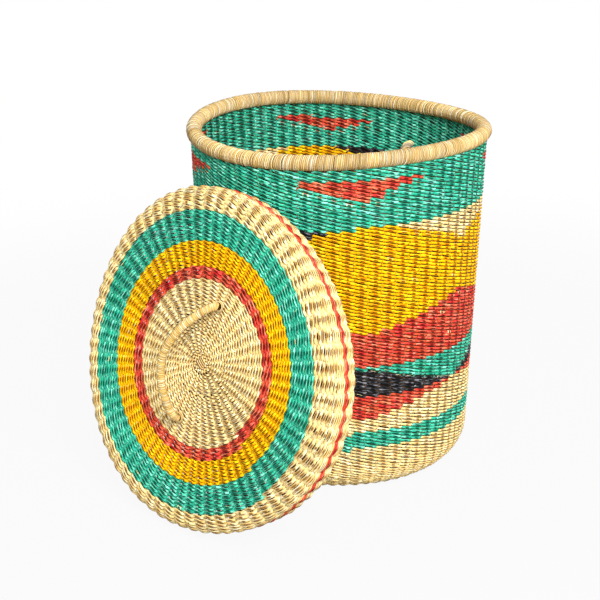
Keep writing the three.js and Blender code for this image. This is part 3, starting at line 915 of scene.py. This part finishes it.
rimLength = fullTurn * rimLook["radius"]
rimJitter = dice.normal(0, 1, (rimLook["turns"], 2))


def rimShape(points, block):
    slide = block + rimLook["slideJitter"] * rimJitter[block, 0]
    along = slide * rimLength / rimLook["turns"] + points[:, 0]
    fat = 1 + rimLook["fatJitter"] * rimJitter[block, 1]
    return rimPoints(along, points[:, 1] * fat, points[:, 2] * fat)


def windPiece(pattern, count, shape, name, node, body, straw):
    mesh, block = layPattern(pattern, count, shape)
    addValues(mesh, dice.random(count)[block], flecks["none"], openGap)
    finishPiece(mesh, name, [node], body, materials[straw])


rimTurn = makeTurn("rimTurn", rimLook)
windPiece(rimTurn, rimLook["turns"], rimShape, "rimWindings", "rim_wrap", "basket", "wrap")
bundleRings, bundleSides = rimLook["bundleMesh"]
bundle = rimPoints(np.linspace(0, rimLength, bundleRings), np.zeros(bundleRings), np.zeros(bundleRings))
# the bundle under the turns takes the stake's painted shade, which shows as dark lines between the turns
sweptPiece(
    [{"points": [Vector(point) for point in bundle], "radii": (rimLook["bundle"],) * 2}], bundleSides,
    "rimBundleShade", ["rim_core"], "basket", "stake",
)
print("rim is wound")

# loop inside the wall: three strands twisted together
loopLook = {
    "angle": math.radians(98),
    "top": 0.9 * basketShape["weaveTop"],
    "drop": 40,
    "width": 6,
    "standOff": 15,
    "wallGap": 4.1,  # from the wall's middle surface to the loop's ends
    "strands": 3,
    "strand": 2.7,
    "twist": 2.9,
    "turns": 3.2,
    "sides": 8,
    "count": 49,
    "path": (  # across, inwards and down, as shares
        (-0.5, -0.1, 0), (-0.5, 0.35, 0), (-0.3, 0.8, 0.06), (0, 1, 0.3),
        (0, 1, 0.65), (0.3, 0.8, 0.92), (0.5, 0.35, 1), (0.5, -0.1, 1),
    ),
}


def loopPoints(look):
    outward = Vector((math.cos(look["angle"]), math.sin(look["angle"]), 0))
    side = Vector((-outward.y, outward.x, 0))
    given = []
    for across, inward, down in look["path"]:
        way = bendEnd + look["top"] - look["drop"] * down - basketShape["wallFoot"]
        point = Vector(onBasket(way, look["angle"], -look["wallGap"]))
        given.append(point - outward * look["standOff"] * inward + side * look["width"] * across)
    return smoothPath(given, look["count"])


def twisted(path, look):
    strands = [[] for strand in range(look["strands"])]
    across = None
    for k, point in enumerate(path):
        ahead = aheadAt(path, k)
        across = acrossAt(ahead, across)
        for strand, points in enumerate(strands):
            turn = fullTurn * (strand / look["strands"] + look["turns"] * k / (len(path) - 1))
            offset = across * math.cos(turn) + ahead.cross(across) * math.sin(turn)
            points.append(point + offset * look["twist"])
    return [{"points": points, "radii": (look["strand"],) * 2} for points in strands]


sweptPiece(
    twisted(loopPoints(loopLook), loopLook), loopLook["sides"],
    "insideLoopRope", ["inside_loop"], "basket", "wrap",
)
print("loop is made")

# handle: a bundle bent over in a leaning arch and wound with straw
handleLook = {
    "span": 152,
    "height": 48,
    "turn": math.radians(76),
    "lean": math.radians(40),
    "lead": 7,  # how far each foot goes straight up
    "below": 9,  # and down through the lid
    "arch": (
        (-1, 0), (-0.93, 0.2), (-0.76, 0.46), (-0.45, 0.8), (0, 1),
        (0.45, 0.8), (0.76, 0.46), (0.93, 0.2), (1, 0),
    ),
    "core": 3.8,
    "coreSides": 8,
    "pathCount": 121,
    "pitch": 2.2,
    "thick": 0.75,
    "wide": 1.45,
    "tube": 4.4,
    "slant": 2.4,
    "open": 2,
    "mesh": (11, 5),
    "ends": 11,  # bare length at each end of the bundle
    "endSwell": 0.2,
    "endReach": 5,
    "slideJitter": 0.1,
    "fatJitter": 0.02,
}
handleAlong = Vector((math.cos(handleLook["turn"]), math.sin(handleLook["turn"]), 0))
handleFlat = Vector((-handleAlong.y, handleAlong.x, 0))
handleOver = handleFlat * math.sin(handleLook["lean"]) + Vector((0, 0, math.cos(handleLook["lean"])))
halfSpan = handleLook["span"] / 2
handleSeat = float(onLid(halfSpan, handleLook["turn"], lidShape["halfWall"])[2])


def handlePath(look):
    given = []
    for across, rise in look["arch"]:
        point = handleAlong * halfSpan * across + Vector((0, 0, handleSeat + look["lead"]))
        given.append(point + handleOver * (look["height"] - look["lead"]) * rise)
    for end in (-1, 1):
        foot = handleAlong * halfSpan * end + Vector((0, 0, handleSeat))
        ends = [foot - Vector((0, 0, look["below"])), foot]
        given = ends + given if end < 0 else given + ends[::-1]
    return smoothPath(given, look["pathCount"])


path = handlePath(handleLook)
# the handle's bundle takes the stake's painted shade too, showing between the turns and at its bare ends
sweptPiece(
    [{"points": path, "radii": (handleLook["core"],) * 2}], handleLook["coreSides"],
    "handleBundleShade", ["handle_core"], "lid", "stake",
)
steps = np.cumsum([0.0] + [(b - a).length for a, b in zip(path, path[1:])])
side = handleAlong.cross(handleOver).normalized()
rows = []
for k, point in enumerate(path):
    rows.append([*point, *side, *side.cross(aheadAt(path, k))])
rows = np.array(rows)


def onHandle(along, out, up):
    place = np.interp(along, steps, np.arange(len(steps)))
    low = np.clip(place.astype(int), 0, len(rows) - 2)
    share = (place - low)[:, None]
    here = rows[low] * (1 - share) + rows[low + 1] * share
    return here[:, 0:3] + here[:, 3:6] * out[:, None] + here[:, 6:9] * up[:, None]


handleTurns = int((steps[-1] - 2 * handleLook["ends"]) / handleLook["pitch"])
handleJitter = dice.normal(0, 1, (handleTurns, 2))


def handleShape(points, block):
    slide = block + 0.5 + handleLook["slideJitter"] * handleJitter[block, 0]
    along = handleLook["ends"] + slide * handleLook["pitch"] + points[:, 0]
    toEnd = np.minimum(along, steps[-1] - along) - handleLook["ends"]
    fat = 1 + handleLook["fatJitter"] * handleJitter[block, 1]
    fat = fat + handleLook["endSwell"] * np.exp(-np.maximum(toEnd, 0) / handleLook["endReach"])
    return onHandle(along, points[:, 1] * fat, points[:, 2] * fat)


handleTurn = makeTurn("handleTurn", handleLook)
windPiece(handleTurn, handleTurns, handleShape, "handleWindings", "handle_wrap", "lid", "grip")

# lashings over the lid and knots under it: a strand coiled round the handle's foot
coilLook = {
    "turns": 2.6,
    "count": 60,
    "sides": 6,
    "wobble": 0.5,
    "wobbleRate": 0.37,
    "wobbleStart": 1,
    "lashing": {"low": 1.0, "high": 3.0, "radius": 5.8, "strand": 1.0},
    "knot": {"low": -10.2, "high": -7.4, "radius": 4.6, "strand": 1.4},
}


def coil(foot, look):
    points = []
    for k in range(coilLook["count"]):
        share = k / (coilLook["count"] - 1)
        turn = fullTurn * coilLook["turns"] * share
        wobble = math.sin(turn * coilLook["wobbleRate"] + coilLook["wobbleStart"])
        reach = look["radius"] + coilLook["wobble"] * wobble
        height = handleSeat + look["low"] + (look["high"] - look["low"]) * share
        points.append(Vector((foot.x + reach * math.cos(turn), foot.y + reach * math.sin(turn), height)))
    return [{"points": points, "radii": (look["strand"],) * 2}]


for number, end in ((1, -1), (2, 1)):
    foot = handleAlong * halfSpan * end
    sweptPiece(
        coil(foot, coilLook["lashing"]), coilLook["sides"],
        f"handleLashing{number}", [f"handle_lashing_{number}"], "lid", "wrap",
    )
    sweptPiece(
        coil(foot, coilLook["knot"]), coilLook["sides"],
        f"handleKnot{number}", [f"handle_knot_{number}"], "lid", "natural",
    )
print("handle is made")

# the crossed stakes that the base and the lid are begun on, tied down with a few wide straws
startLook = {
    "radius": 13.5,
    "stakes": 7,
    "apart": 3.6,
    "strand": 1.6,
    "over": 0.8,
    "count": 16,
    "ties": 4,
    "tieTurn": math.radians(-40),
    "tieApart": 3.0,
    "tieLength": 7.5,
    "tieRadii": (1.5, 1.0),
    "tieEnd": -0.5,
    "tieRise": 2.6,
    "tieBlunt": 0.4,
    "sides": 6,
}


def crossedStart(surface, outward):
    look = startLook

    def place(x, y, out):
        return Vector(surface(math.hypot(x, y), math.atan2(y, x), outward * out))

    strands = []
    for k in range(look["stakes"]):
        shift = (k - (look["stakes"] - 1) / 2) * look["apart"]
        reach = math.sqrt(max(1, look["radius"] ** 2 - shift**2))
        for direction in (0, 1):
            points = []
            for t in np.linspace(-reach, reach, look["count"]):
                over = look["over"] * math.cos(math.pi * (t / look["apart"] + k)) * (1 - 2 * direction)
                points.append(place(shift, t, over) if direction else place(t, shift, over))
            strands.append({"points": points, "radii": (look["strand"],) * 2})
    ahead = Vector((math.cos(look["tieTurn"]), math.sin(look["tieTurn"]), 0))
    across = Vector((-ahead.y, ahead.x, 0))
    for k in range(look["ties"]):
        shift = across * (k - (look["ties"] - 1) / 2) * look["tieApart"]
        points = []
        for share in np.linspace(-1, 1, look["count"]):
            spot = ahead * look["tieLength"] * share + shift
            bow = max(0, math.cos(share * math.pi / 2)) ** look["tieBlunt"]
            points.append(place(spot.x, spot.y, look["tieEnd"] + look["tieRise"] * bow))
        strands.append({"points": points, "radii": look["tieRadii"], "across": across})
    return strands


sweptPiece(
    crossedStart(onBasket, -1), startLook["sides"],
    "baseStartStraw", ["base_start"], "basket", "natural",
)
sweptPiece(
    crossedStart(onLid, 1), startLook["sides"],
    "lidStartStraw", ["lid_start"], "lid", "natural",
)
print("starts are crossed")

# floor and light, in metres and watts
stageLook = {
    "floorSize": 20,
    "floorGrey": 0.3,
    "seenWhite": 0.93,  # how much of what the camera sees of the floor near the basket is plain white
    "fade": (0.7, 1.5),  # over this distance the floor goes over to plain white
    "worldLight": 0.75,
    "key": {"place": (2.1, -1.1, 1.9), "aim": (0, 0, 0.25), "size": 1.4, "power": 118},
    "fill": {"place": (-1.6, -2.2, 1.6), "aim": (0, 0, 0.25), "size": 1.6, "power": 6},
}
bm = bmesh.new()
bmesh.ops.create_grid(bm, x_segments=1, y_segments=1, size=stageLook["floorSize"])
floor = bpy.data.objects.new("floor", endMesh(bm, "floor"))
bpy.context.collection.objects.link(floor)
floorMaterial = bpy.data.materials.new("floorWhite")
floorMaterial.use_nodes = True
tree = floorMaterial.node_tree
shader = feed(tree, tree.nodes["Principled BSDF"], {
    "Base Color": (*(stageLook["floorGrey"],) * 3, 1),
    "Roughness": 1,
    "Specular IOR Level": 0,
})


def seenRays(tree):
    rays = addNode(tree, "ShaderNodeLightPath").outputs
    seen = mathNode(tree, "MAXIMUM", rays["Is Camera Ray"], rays["Is Glossy Ray"])
    return mathNode(tree, "MAXIMUM", seen, rays["Is Transmission Ray"])


glow = feed(tree, addNode(tree, "ShaderNodeEmission"), {"Color": (1, 1, 1, 1), "Strength": 1})
away = feed(tree, addNode(tree, "ShaderNodeVectorMath", operation="LENGTH"), {
    0: addNode(tree, "ShaderNodeTexCoord").outputs["Object"],
}).outputs["Value"]
amount = mapRange(tree, away, stageLook["fade"], (stageLook["seenWhite"], 1), "SMOOTHSTEP")
amount = mathNode(tree, "MULTIPLY", seenRays(tree), amount)
mixer = addNode(tree, "ShaderNodeMixShader")
feed(tree, mixer, {0: amount, 1: shader.outputs[0], 2: glow.outputs[0]})
tree.links.new(mixer.outputs[0], tree.nodes["Material Output"].inputs["Surface"])
floor.data.materials.append(floorMaterial)

world = bpy.data.worlds.new("studio")
bpy.context.scene.world = world
world.use_nodes = True
tree = world.node_tree
back = feed(tree, tree.nodes["Background"], {"Color": (1, 1, 1, 1), "Strength": stageLook["worldLight"]})
white = feed(tree, addNode(tree, "ShaderNodeBackground"), {"Color": (1, 1, 1, 1), "Strength": 1})
mixer = addNode(tree, "ShaderNodeMixShader")
feed(tree, mixer, {0: seenRays(tree), 1: back.outputs[0], 2: white.outputs[0]})
tree.links.new(mixer.outputs[0], tree.nodes["World Output"].inputs["Surface"])


def softLight(name, look):
    data = bpy.data.lights.new(name, "AREA")
    data.size = look["size"]
    data.energy = look["power"]
    lamp = bpy.data.objects.new(name, data)
    lamp.location = look["place"]
    lamp.rotation_euler = (Vector(look["aim"]) - Vector(look["place"])).to_track_quat("-Z", "Y").to_euler()
    bpy.context.collection.objects.link(lamp)


softLight("keyLight", stageLook["key"])
softLight("fillLight", stageLook["fill"])
bpy.context.scene.view_settings.view_transform = "Standard"
print("floor and light are set")
